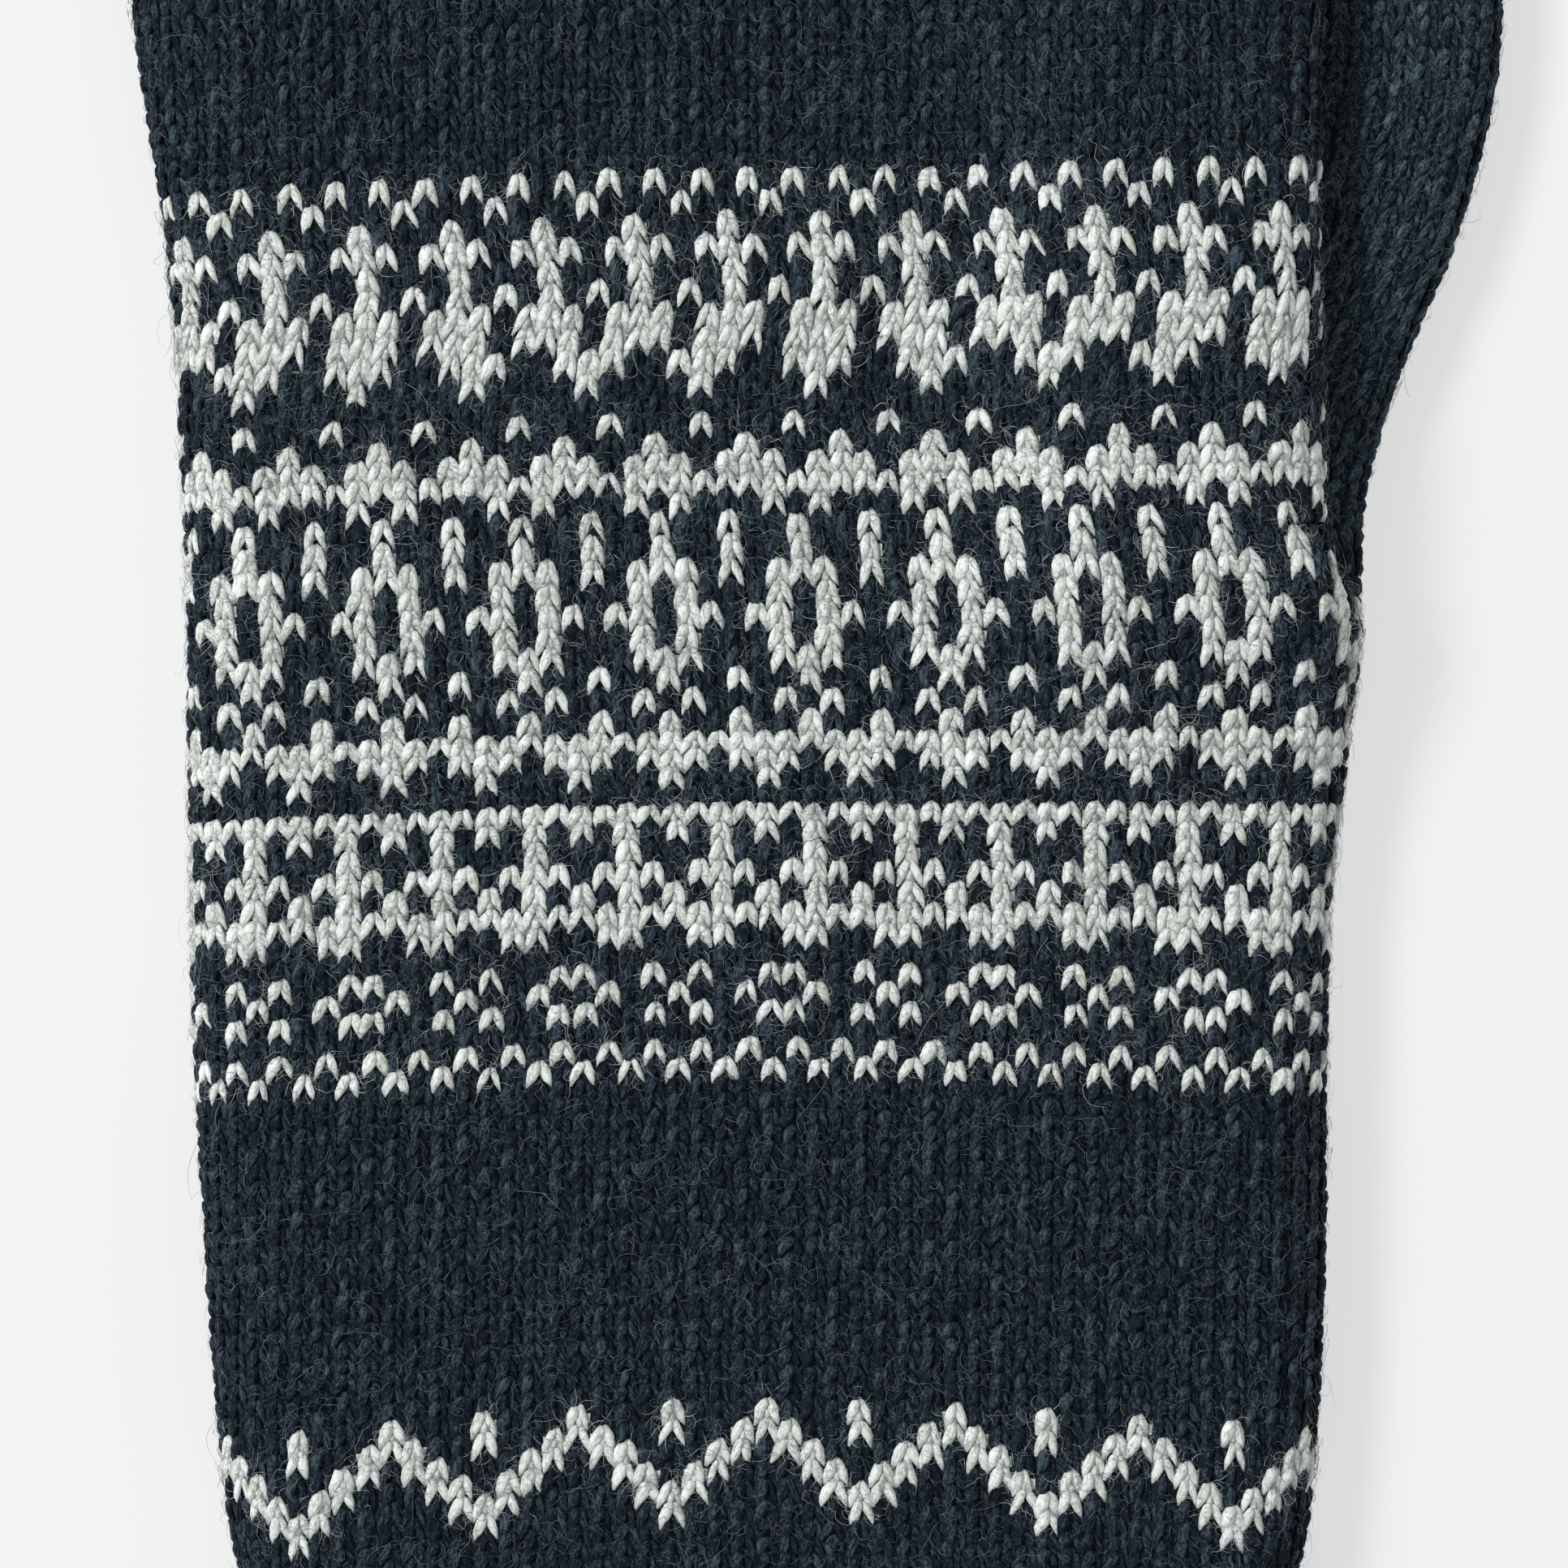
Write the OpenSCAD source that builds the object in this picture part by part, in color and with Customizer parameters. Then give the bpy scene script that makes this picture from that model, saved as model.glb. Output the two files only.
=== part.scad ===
// Left-hand knitted glove, lying flat on its palm with the back of the hand up.
// Knit tubes from the fingertips down to the ribbed cuff. Millimetres, +Z up,
// fingers towards +Y, thumb towards +X. Each knit section is a hollow tube.

/* [Hand] */
// Length of the tube that holds four fingers, thumb crotch to little-finger crotch
palm_len = 49; // [46:1:52]
// Extra length of the tube that holds three fingers, above the little-finger crotch
knuckle_len = 5; // [4:1:8]
// Length of the tube that holds the whole hand, below the thumb crotch
hand_len = 60; // [56:1:64]
// Height of the hand lying flat, two layers of knit and the room between them
hand_h = 9.4; // [9:0.1:11]
// Thickness of one layer of knit
knit_t = 1.5; // [1.2:0.1:1.6]

/* [Wrist and cuff] */
// Length of the wrist tube, from the hand to where the cuff bends
wrist_len = 25.6; // [22:0.2:30]
// Room left at the wrist so that the cuff can bend both ways
wrist_gap = 4.8; // [4.6:0.1:6]
// Length of the ribbed cuff without its bound-off edge
rib_len = 42.6; // [35:0.2:60]
// Length of the bound-off edge of the cuff
rim_len = 3; // [2:0.5:5]
// How far the bound-off edge stands proud of the rib
rim_lip = 0.5; // [0.3:0.1:0.8]

/* [Fingers] */
// Length of the index finger from its crotch
index_len = 68; // [60:1:75]
// Length of the middle finger from its crotch
middle_len = 76; // [68:1:84]
// Length of the ring finger from its crotch
ring_len = 70; // [62:1:77]
// Length of the little finger from its crotch
little_len = 57; // [50:1:63]
// Height of a finger lying flat
finger_h = 8.4; // [8:0.1:9]
// Where a finger bends in the middle, as a share of its length
knuckle_share = 0.46; // [0.4:0.01:0.52]

/* [Thumb] */
// Length of the thumb from its crotch
thumb_len = 51; // [49:0.5:52]
// Width of the thumb lying flat
thumb_w = 16.4; // [16:0.1:17]
// Height of the thumb lying flat
thumb_h = 6.9; // [6.8:0.05:7]
// Where the thumb bends, as a share of its length
thumb_share = 0.56; // [0.5:0.01:0.6]

/* [Hidden] */

gap = 0.3;              // clearance between pieces that move against each other
half = 15;              // steps along the lower side of a cross-section
step = 5;               // longest distance between two cross-sections
lean_in = 0.6;          // space between two fingers at their roots
edge_r = 6;             // how far the side edge of the hand rounds in
finger_edge = 4.6;      // the same for a finger
tip_round = 10;         // length over which a fingertip closes
thumb_round = 8.6;      // length over which the thumb's tip closes
lift = 7.2;             // how high the hand lies over the thumb
lift_thin = 2;          // how much flatter the hand is there
lift_x = [12, 28];      // where across the hand the lift starts and is complete
lift_y = [-24, 0, 43, 54];  // where along the hand the lift starts, is complete, fades and ends
thumb_edge_r = 3.6;     // how far the side edge of the thumb rounds in
thumb_thinner = 0.2;    // how much thinner the knit is on the thumb
finger_taper = 0.86;    // width of a finger at its tip as a share of its root
tip_flat = 0.75;        // how much of a tip's closing also takes its height
tip_steps = [0.35, 0.48, 0.61, 0.74, 0.87, 1];  // places of the cross-sections round a tip
tip_least = 0.004;      // least square of a cross-section's share of the width at the very tip
navy = [0.09, 0.13, 0.17];
cream = [0.72, 0.74, 0.71];

// The thumb crotch is at y = 0 until the model is centred.
y_knuckle = palm_len;
y_fingers = palm_len + knuckle_len;
y_wrist = -hand_len;
y_bend = y_wrist - wrist_len - wrist_gap / 2;
y_rib = y_bend - wrist_gap / 2;
y_rim = y_rib - rib_len;
y_end = y_rim - rim_len;

// Side edges of the glove, [y, x].
left_edge = [[-136, -36.5], [-92, -36.4], [-84, -38.4], [-77, -41.4], [-61, -43.2], [-35, -44.7],
             [3, -45.4], [26, -47], [41, -49.4], [54, -50.6]];
right_edge = [[-136, 39.2], [-92, 39.2], [-84, 40.4], [-77, 42.8], [-61, 44.2], [-30, 44.8],
              [-16, 46.3], [-6, 47.4], [0, 47.4]];
palm_edge = [[0, 44], [24, 43.6], [40, 43.9], [54, 45.2]];
thumb_edge = [[0, 47.4], [7, 48.7], [15, 51.5], [22, 54.5], [30, 56.9], [37, 58.2], [51, 58.6]];

// Finger roots across the knuckles as shares of the width, and how far each finger leans.
root_share = [0, 0.228, 0.482, 0.746, 1];
lean = [-5, -1.5, 1, 3];

function smooth(t) = let(c = min(1, max(0, t))) c * c * (3 - 2 * c);
function mix(a, b, t) = a + (b - a) * t;

// A smooth curve through knots [y, x], level beyond the first and the last.
function slope(k, i) =
    i <= 0 || i >= len(k) - 1 ? 0 : (k[i + 1][1] - k[i - 1][1]) / (k[i + 1][0] - k[i - 1][0]);
function hermite(k, i, y) =
    let(d = k[i + 1][0] - k[i][0], t = (y - k[i][0]) / d)
    mix(k[i][1], k[i + 1][1], smooth(t))
    + d * t * (1 - t) * (slope(k, i) * (1 - t) - slope(k, i + 1) * t);
function along(k, y) =
    let(last = len(k) - 1, c = min(k[last][0], max(k[0][0], y)))
    hermite(k, max([for (i = [0:last - 1]) if (c >= k[i][0]) i]), c);

// How high the top and the bottom layer of the hand lie over the thumb.
function lift_across(x) = smooth((x - lift_x[0]) / (lift_x[1] - lift_x[0]));
function lift_top(y) = smooth((y - lift_y[0]) / (lift_y[1] - lift_y[0]))
                       * (1 - smooth((y - lift_y[2]) / (lift_y[3] - lift_y[2])));
function lift_bottom(y) = y < 0 ? 0 : lift_top(y);

// A flattened cross-section at y, inset by t all round: its lower side from left to right,
// then its upper side back. low and high are how much of the lift each side takes.
function section(y, xl, xr, z, h, edge, t, low = 0, high = 0) =
    let(xm = (xl + xr) / 2, w = (xr - xl) / 2 - t,
        p0 = max(0, 1 - edge / max(w + t, 0.01)))
    [for (j = [0:2 * half - 1])
        let(s = j <= half ? j / half : 2 - j / half,
            p = -cos(180 * s), x = xm + w * p, a = lift_across(x),
            zb = z + low * lift * a + t,
            zt = z + h + a * high * (lift - lift_thin) - t,
            q = max(0, (abs(p) - p0) / (1 - p0)),
            r = sqrt(max(0, 1 - q * q)), mid = (zb + zt) / 2)
        [x, y, mid + (j <= half ? -1 : 1) * r * (zt - zb) / 2]];

// Side, end and cap faces of a hollow tube, from its outer and its inner rings.
function strip(base, rings, n, out) =
    [for (i = [0:rings - 2], j = [0:n - 1])
        let(a = base + i * n + j, b = base + i * n + (j + 1) % n)
        each out ? [[a, b, b + n], [a, b + n, a + n]] : [[a, b + n, b], [a, a + n, b + n]]];
function collar(o, i, n, first) =
    [for (j = [0:n - 1])
        let(k = (j + 1) % n)
        each first ? [[o + j, i + j, i + k], [o + j, i + k, o + k]]
                   : [[o + j, o + k, i + k], [o + j, i + k, i + j]]];
module tube(outer, inner, closed = false) {
    n = len(outer[0]);
    m = len(outer) * n;
    o_end = m - n;
    i_end = m + (len(inner) - 1) * n;
    ends = closed ? [[for (j = [0:n - 1]) o_end + j], [for (j = [n - 1:-1:0]) i_end + j]]
                  : collar(o_end, i_end, n, false);
    polyhedron(concat([for (r = outer) each r], [for (r = inner) each r]),
               concat(strip(0, len(outer), n, true), strip(m, len(inner), n, false),
                      collar(0, m, n, true), ends));
}
function stations(y0, y1) = let(n = ceil((y1 - y0) / step)) [for (i = [0:n]) mix(y0, y1, i / n)];

// A stretch of the hand from y0 to y1.
function hand_ring(y, t) =
    section(y, along(left_edge, y), along(right_edge, y), 0, hand_h, edge_r, t, 0, lift_top(y));
function palm_ring(y, t) =
    section(y, along(left_edge, y), along(palm_edge, y), 0, hand_h, edge_r, t,
            lift_bottom(y), lift_top(y));

// Roots of the fingers: little, ring, middle, index.
knuckle_l = along(left_edge, y_fingers);
knuckle_r = along(palm_edge, y_fingers);
function root(i) = mix(knuckle_l, knuckle_r, root_share[i]);
finger_lens = [little_len, ring_len, middle_len, index_len];
function finger_y(i) = i == 0 ? y_knuckle : y_fingers;

// A finger's cross-section at share s of its length; its tip closes over tip_round.
function finger_ring(i, s, t) =
    let(l = finger_lens[i], y = s * l, w0 = (root(i + 1) - root(i) - lean_in) / 2,
        xm = (root(i) + root(i + 1)) / 2 + y * tan(lean[i]),
        c = min(1, max(0, (y - (l - tip_round)) / tip_round)), k = sqrt(max(tip_least, 1 - c * c)),
        w = mix(w0, w0 * finger_taper, s) * k, h = finger_h * mix(1, k, tip_flat))
    section(finger_y(i) + y, xm - w, xm + w, (finger_h - h) / 2, h, min(finger_edge, w), t);
function tip_shares(a, l, round) =
    concat([for (i = [0:5]) mix(a, 1 - round / l, i / 5)],
           [for (c = tip_steps) 1 - round / l * (1 - c)]);
module finger_base(i) {
    s0 = gap / finger_lens[i];
    s1 = knuckle_share - gap / finger_lens[i];
    shares = [for (k = [0:6]) mix(s0, s1, k / 6)];
    tube([for (s = shares) finger_ring(i, s, 0)], [for (s = shares) finger_ring(i, s, knit_t)]);
}
module finger_tip(i) {
    l = finger_lens[i];
    shares = tip_shares(knuckle_share, l, tip_round);
    inner = (l - knit_t * 2) / l;
    tube([for (s = shares) finger_ring(i, s, 0)],
         [for (s = shares)
             finger_ring(i, mix(knuckle_share, s, (inner - knuckle_share) / (1 - knuckle_share)), knit_t)],
         true);
}

// The thumb's cross-section at share s of its length.
function thumb_ring(s, t) =
    let(y = s * thumb_len, c = min(1, max(0, (y - (thumb_len - thumb_round)) / thumb_round)),
        k = sqrt(max(tip_least, 1 - c * c)), w = thumb_w / 2 * k,
        xm = along(thumb_edge, y) - thumb_w / 2, h = thumb_h * mix(1, k, tip_flat))
    section(y, xm - w, xm + w, (thumb_h - h) / 2, h, min(thumb_edge_r, w), t);
thumb_t = knit_t - thumb_thinner;

// The model is centred on its own ends: the thumb and the little finger reach farthest out.
function every_x(rings) = [for (r = rings) each [for (p = r) p[0]]];
far_right = max(every_x([for (s = tip_shares(thumb_share, thumb_len, thumb_round)) thumb_ring(s, 0)]));
far_left = min(every_x([for (s = tip_shares(knuckle_share, little_len, tip_round)) finger_ring(0, s, 0)]));
far_up = y_fingers + middle_len;
module centred() {
    translate([-(far_left + far_right) / 2, -(far_up + y_end) / 2, 0])
        children();
}

module cuff_rim() {
    color(navy) centred() {
        ys = stations(y_end, y_rim);
        tube([for (y = ys) section(y, along(left_edge, y) - rim_lip, along(right_edge, y) + rim_lip, 0,
                                   hand_h + rim_lip, edge_r, 0)],
             [for (y = ys) section(y, along(left_edge, y), along(right_edge, y), 0, hand_h, edge_r, knit_t)]);
    }
}
module cuff_rib() {
    color(navy) centred() {
        ys = stations(y_rim, y_rib);
        tube([for (y = ys) hand_ring(y, 0)], [for (y = ys) hand_ring(y, knit_t)]);
    }
}
module wrist_tube() {
    color(navy) centred() {
        ys = stations(y_bend + wrist_gap / 2, y_wrist);
        tube([for (y = ys) hand_ring(y, 0)], [for (y = ys) hand_ring(y, knit_t)]);
    }
}
module hand_tube() {
    color(cream) centred() {
        ys = stations(y_wrist, 0);
        tube([for (y = ys) hand_ring(y, 0)], [for (y = ys) hand_ring(y, knit_t)]);
    }
}
module palm_tube() {
    color(cream) centred() {
        ys = stations(0, y_knuckle);
        tube([for (y = ys) palm_ring(y, 0)], [for (y = ys) palm_ring(y, knit_t)]);
    }
}
module knuckle_tube() {
    color(navy) centred() {
        ys = stations(y_knuckle, y_fingers);
        tube([for (y = ys) section(y, root(1), along(palm_edge, y), 0, hand_h, edge_r, 0,
                                   lift_bottom(y), lift_top(y))],
             [for (y = ys) section(y, root(1), along(palm_edge, y), 0, hand_h, edge_r, knit_t,
                                   lift_bottom(y), lift_top(y))]);
    }
}
module thumb_base() {
    color(navy) centred() {
        shares = [for (k = [0:6]) mix(gap / thumb_len, thumb_share - gap / thumb_len, k / 6)];
        tube([for (s = shares) thumb_ring(s, 0)], [for (s = shares) thumb_ring(s, thumb_t)]);
    }
}
module thumb_tip() {
    color(navy) centred() {
        shares = tip_shares(thumb_share, thumb_len, thumb_round);
        inner = (thumb_len - thumb_t * 2) / thumb_len;
        tube([for (s = shares) thumb_ring(s, 0)],
             [for (s = shares) thumb_ring(mix(thumb_share, s, (inner - thumb_share) / (1 - thumb_share)),
                                          thumb_t)], true);
    }
}
module index_base() { color(navy) centred() finger_base(3); }
module index_tip() { color(navy) centred() finger_tip(3); }
module middle_base() { color(navy) centred() finger_base(2); }
module middle_tip() { color(navy) centred() finger_tip(2); }
module ring_base() { color(navy) centred() finger_base(1); }
module ring_tip() { color(navy) centred() finger_tip(1); }
module little_base() { color(navy) centred() finger_base(0); }
module little_tip() { color(navy) centred() finger_tip(0); }

cuff_rim();
cuff_rib();
wrist_tube();
hand_tube();
palm_tube();
knuckle_tube();
thumb_base();
thumb_tip();
index_base();
index_tip();
middle_base();
middle_tip();
ring_base();
ring_tip();
little_base();
little_tip();
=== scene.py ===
import math

import bpy
import numpy as np
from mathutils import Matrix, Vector


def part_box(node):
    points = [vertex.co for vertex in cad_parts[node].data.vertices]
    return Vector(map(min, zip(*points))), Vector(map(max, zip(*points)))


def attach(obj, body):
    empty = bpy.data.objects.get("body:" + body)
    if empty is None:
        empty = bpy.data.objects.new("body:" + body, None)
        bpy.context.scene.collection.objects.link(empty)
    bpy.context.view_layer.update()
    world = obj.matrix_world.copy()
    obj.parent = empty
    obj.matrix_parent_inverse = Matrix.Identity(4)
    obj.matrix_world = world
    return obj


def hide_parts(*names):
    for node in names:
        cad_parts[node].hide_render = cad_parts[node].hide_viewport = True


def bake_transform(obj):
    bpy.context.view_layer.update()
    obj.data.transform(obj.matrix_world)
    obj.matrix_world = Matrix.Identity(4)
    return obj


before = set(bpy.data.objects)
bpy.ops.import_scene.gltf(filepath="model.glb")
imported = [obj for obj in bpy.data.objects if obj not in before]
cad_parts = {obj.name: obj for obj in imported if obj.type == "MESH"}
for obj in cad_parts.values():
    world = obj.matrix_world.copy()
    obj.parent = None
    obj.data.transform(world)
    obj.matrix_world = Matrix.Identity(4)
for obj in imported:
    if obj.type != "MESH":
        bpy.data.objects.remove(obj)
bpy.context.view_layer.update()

# Lengths are millimetres in the hand's own frame: x = 0 on the middle of the back of the hand,
# y = 0 at the thumb crotch, fingers towards +y, and z = 0 on the floor. The shape below is the
# CAD's: a lofted tube for the hand, one for each finger and one for the thumb.
MM = 0.001
HAND_RIGHT = 47.4         # right side of the hand at the thumb crotch
HAND_BOX = [np.array(corner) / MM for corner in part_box("hand_tube")]
ORIGIN = np.array([HAND_BOX[1][0] - HAND_RIGHT, HAND_BOX[1][1], HAND_BOX[0][2]])


def y_range(node):
    """Where a CAD node starts and ends along the hand."""
    low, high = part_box(node)
    return low.y / MM - ORIGIN[1], high.y / MM - ORIGIN[1]


Y_BEND_HAND, Y_WRIST = y_range("wrist_tube")
Y_RIM, Y_BEND_CUFF = y_range("cuff_rib")
Y_END = y_range("cuff_rim")[0]
Y_KNUCKLE, Y_FINGERS = y_range("palm_tube")[1], y_range("knuckle_tube")[1]
CUFF_TOP = Y_BEND_HAND + 1        # top of the ribbing, just over the bend at the wrist

HAND_H = 9.4              # thickness of the hand as it lies
FINGER_H = 8.4            # thickness of a finger
KNIT_T = 1.5              # thickness of the fabric
EDGE_R = 6.0              # width of the rounding along the sides of the hand
FINGER_EDGE = 4.6         # width of the rounding along the sides of a finger
FINGER_DIP = 8.0          # length over which the back of the hand dips towards a finger crotch
TIP_ROUND = 10.0          # length of the rounding of a fingertip
TIP_TURN = math.pi / 2 - 0.06     # how far round a tip the stitches go
TIP_FLAT = 0.75           # how much of a tip's closing its thickness follows
LIFT = 7.2                # height of the underside of the palm over the thumb
LIFT_THIN = 2.0           # how much thinner the hand is there
LIFT_X = (12.0, 28.0)     # across, where the lift starts and where it is full
LIFT_Y = (-24.0, 0.0, 43.0, 54.0)        # along, where it starts, is full, is still full and ends
PART_Y = -9.0             # where the right side of the hand starts to part into palm and thumb
LEFT_EDGE = [(-136, -36.5), (-92, -36.4), (-84, -38.4), (-77, -41.4), (-61, -43.2), (-35, -44.7),
             (3, -45.4), (26, -47), (41, -49.4), (54, -50.6)]
RIGHT_EDGE = [(-136, 39.2), (-92, 39.2), (-84, 40.4), (-77, 42.8), (-61, 44.2), (-30, 44.8),
              (-16, 46.3), (-6, 47.4), (0, 47.4)]
PALM_EDGE = [(0, 44), (24, 43.6), (40, 43.9), (54, 45.2)]
THUMB_EDGE = [(0, 47.4), (7, 48.7), (15, 51.5), (22, 54.5), (30, 56.9), (37, 58.2), (51, 58.6)]
THUMB_LEN, THUMB_W, THUMB_H, THUMB_ROUND, THUMB_EDGE_R = 51.0, 16.4, 6.9, 8.6, 3.6
THUMB_BEND = y_range("thumb_tip")[0]
FINGERS = ("little", "ring", "middle", "index")
ROOT_SHARE = (0, 0.228, 0.482, 0.746, 1)         # where the fingers start across the hand
LEAN = (-5, -1.5, 1, 3)   # degrees that each finger leans
LEAN_IN = 0.6             # gap between two fingers
FINGER_TAPER = 0.86       # width of a finger's tip, as a share of its root

# The knit.
WALE = 1.8                # width of a stitch on the back of the hand
WALE_SHIFT = 0.2          # the middle of stitch 0, in stitches right of x = 0
PLAIN = 1.255             # height of a plain course
COLOUR = 1.62             # usual height of a colour-work course
COLOUR_HEIGHTS = ((6, 1.72), (3, 1.86), (4, 1.57), (3, 1.55), (3, 1.8), (7, 1.68), (6, 1.4), (4, 1.65),
                  (8, 1.5))     # (courses, their height), from the fingers down
ZIGZAG = 1.585            # height of a course of the zigzag
FIRST_COLOUR_Y = 28.26    # top of the first colour-work course
COLOUR_END = FIRST_COLOUR_Y - sum(count * height for count, height in COLOUR_HEIGHTS)
PLAIN_ABOVE, PLAIN_BETWEEN = 30, 20      # plain courses above the colour-work, and from it to the zigzag
CHART = ("#.", ".#..", "...#", "#.##", "...#", ".#.#", "#.##", "#.##", "..###", "...#.", ".",
         "..#.", "#...", "##.#", "#", ".#.#..", "..#..#", "..#..#", ".###.#", ".#.#..", "##.##.",
         ".#.#..", ".###..", "..#..#", ".#.#..", "..#", "#", "##.#", "#...", ".", "#", "#.", "..#.",
         ".###", "#.", "#", ".##.", ".", "##..#.#..", "..#", "##..#.#..", ".", ".#", "#.")
ZIGZAG_CHART = ("#...#...", "##..#..#", ".##...##", "..##.##.", "...###..", "....#...")

# Width of the stitches on the back of the hand, by y, how much wider they are on the thumb's side,
# and where the stitches that start at x = 0 lie.
FRONT_PITCH = [(-84, 1.83), (-72, 1.83), (-25, 1.822), (20, 1.79), (54, 1.80)]
RIGHT_WIDER = [(-24, 0), (-8, 0.045), (3, 0)]
DRIFT = [(-72, 0), (-41, 0.45), (-29, 0.3), (-18, 0), (-9, -0.5), (0, -1.0), (8, -1.4),
         (13, -1.3), (18.5, -0.6), (23.5, -1.2), (28, -1.5)]
FRONT_SHARE = 0.42        # how far from the middle they keep that width, in widths of the hand
# How far a course is from level at the left and right sides, by y, and how steeply it gets there.
HANG_Y = (-73, -54, -35, -16, 3, 22)
HANG_LEFT = (-4.0, -2.6, -2.0, -1.5, -1.5, -2.0)
HANG_RIGHT = (-2.5, -1.5, -0.8, 0.2, 0.6, 0.5)
HANG_REACH, HANG_POWER = (45, 41), 1.6
LOBE_X, LOBE_Y = 45.4, -2.2      # beyond these the edge by the thumb has no pattern
RIM_LOOP = 1.3            # from the end of the cuff to the top of the bound-off loops
RIB_RISE, RIB_SINK = 0.40, 1.00  # how far the knit ribs of the cuff stand out and the purl ones sink
BEND_REACH = 7            # how far from a bend the fabric of a finger starts to turn

NAVY, CREAM, STRAY, DOWN = range(4)      # places of the wools in a piece's materials


def smooth(t):
    """0 below 0, 1 above 1, and an even curve between."""
    c = np.clip(t, 0, 1)
    return c * c * (3 - 2 * c)


def mix(a, b, t):
    return a + (b - a) * t


def along(knots, y):
    """A smooth curve through knots (y, x), level beyond the first and the last."""
    at, value = np.array(knots, float).T
    slope = np.zeros(len(at))
    slope[1:-1] = (value[2:] - value[:-2]) / (at[2:] - at[:-2])
    y = np.clip(y, at[0], at[-1])
    i = np.clip(np.searchsorted(at, y, "right") - 1, 0, len(at) - 2)
    d = at[i + 1] - at[i]
    t = (y - at[i]) / d
    return mix(value[i], value[i + 1], smooth(t)) + d * t * (1 - t) * (slope[i] * (1 - t) - slope[i + 1] * t)


# ---------------------------------------------------------------- cross-sections

SIDE = -np.cos(np.linspace(0, math.pi, 90))     # shares of the half width, left to right


def rounding(x, middle, half_width, edge):
    """How much of its full height a flattened tube has at x: 1 in the middle, 0 at its side edges."""
    p0 = max(0.0, 1 - edge / max(half_width, 0.01))
    q = np.clip((np.abs(x - middle) / half_width - p0) / (1 - p0), 0, 1)
    return np.sqrt(1 - q * q)


def ring(y, x_left, x_right, low, high, edge, squeeze=None):
    """A cross-section at y as points, over the top from left to right and back underneath.
    low and high give the heights at x, and squeeze the share of the thickness that is left."""
    middle, half_width = (x_left + x_right) / 2, (x_right - x_left) / 2
    x = middle + half_width * SIDE
    share = rounding(x, middle, half_width, edge)
    if squeeze is not None:
        share = share * squeeze(x)
    centre, half_height = (low(x) + high(x)) / 2, (high(x) - low(x)) / 2 * share
    top = np.stack([x, np.full_like(x, y), centre + half_height], 1)
    bottom = np.stack([x, np.full_like(x, y), centre - half_height], 1)[::-1]
    return np.concatenate([top, bottom[1:-1]])


def lift_across(x):
    return smooth((x - LIFT_X[0]) / (LIFT_X[1] - LIFT_X[0]))


def lift_along(y):
    start, full, last, end = LIFT_Y
    return smooth((y - start) / (full - start)) * (1 - smooth((y - last) / (end - last)))


def top_height(y):
    return lambda x: HAND_H + lift_across(x) * lift_along(y) * (LIFT - LIFT_THIN)


# The edges of the fingers where they start, and the y of the crotch on the right of each.
ROOTS = [mix(along(LEFT_EDGE, Y_FINGERS), along(PALM_EDGE, Y_FINGERS), s) for s in ROOT_SHARE]
CROTCH = [Y_KNUCKLE, Y_FINGERS, Y_FINGERS, Y_FINGERS]


def finger_lobes(y):
    """Near the fingers the back of the hand dips between them."""
    def squeeze(x):
        share = np.ones_like(x)
        for i in range(4):
            middle, half_width = (ROOTS[i] + ROOTS[i + 1]) / 2, (ROOTS[i + 1] - ROOTS[i]) / 2
            inside = np.abs(x - middle) <= half_width
            for edge, crotch in ((ROOTS[i], CROTCH[max(i - 1, 0)]), (ROOTS[i + 1], CROTCH[i])):
                if edge in (ROOTS[0], ROOTS[4]):
                    continue
                near = inside & (np.sign(x - middle) == np.sign(edge - middle))
                dip = smooth((y - (crotch - FINGER_DIP)) / FINGER_DIP)
                share = np.where(near, mix(1, rounding(x, middle, half_width, FINGER_EDGE), dip), share)
        return share
    return squeeze


def hand_ring(y):
    """The hand below the thumb crotch. Its right side parts into the palm and the thumb."""
    r = ring(y, along(LEFT_EDGE, y), along(RIGHT_EDGE, y), lambda x: 0 * x, top_height(y), EDGE_R)
    part = smooth((y - PART_Y) / -PART_Y)
    if part > 0:
        right, top = along(RIGHT_EDGE, y), top_height(y)(HAND_RIGHT)
        z = r[:, 2]

        def side(edge, radius, low, high):
            """The x of a rounded side edge between low and high."""
            off = (z - (low + high) / 2) / ((high - low) / 2)
            return edge - radius * (1 - np.sqrt(np.clip(1 - off ** 2, 0, 1)))
        whole = side(right, EDGE_R, 0, top)
        palm_x, thumb_x = side(along(PALM_EDGE, 0), EDGE_R, LIFT, top), side(right, THUMB_EDGE_R, 0, THUMB_H)
        lobes = np.where(z > (LIFT + THUMB_H) / 2, palm_x, thumb_x)
        near = smooth((r[:, 0] - (right - 2 * EDGE_R)) / EDGE_R)
        r[:, 0] += part * near * (lobes - whole)
    return r


def palm_ring(y):
    """The hand above the thumb crotch, which lies over the thumb."""
    def low(x):
        rise = mix(10, 0.3, smooth((x - 26) / 5))
        return lift_across(x) * LIFT * lift_along(y) * smooth((y + 0.3) / rise)
    return ring(y, along(LEFT_EDGE, y), along(PALM_EDGE, y), low, top_height(y), EDGE_R, finger_lobes(y))


def knuckle_ring(y):
    def low(x):
        return lift_across(x) * LIFT * lift_along(y)
    return ring(y, ROOTS[1], along(PALM_EDGE, y), low, top_height(y), EDGE_R, finger_lobes(y))


def tip(v, length, radius):
    """How far along it and how much closed a finger is at v along its skin, which goes round its tip."""
    turn = np.clip((v - (length - radius)) / radius, 0, TIP_TURN)
    return min(v, length - radius) + radius * math.sin(turn), math.cos(turn)


def skin_length(length, radius):
    return length - radius + radius * TIP_TURN


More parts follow.
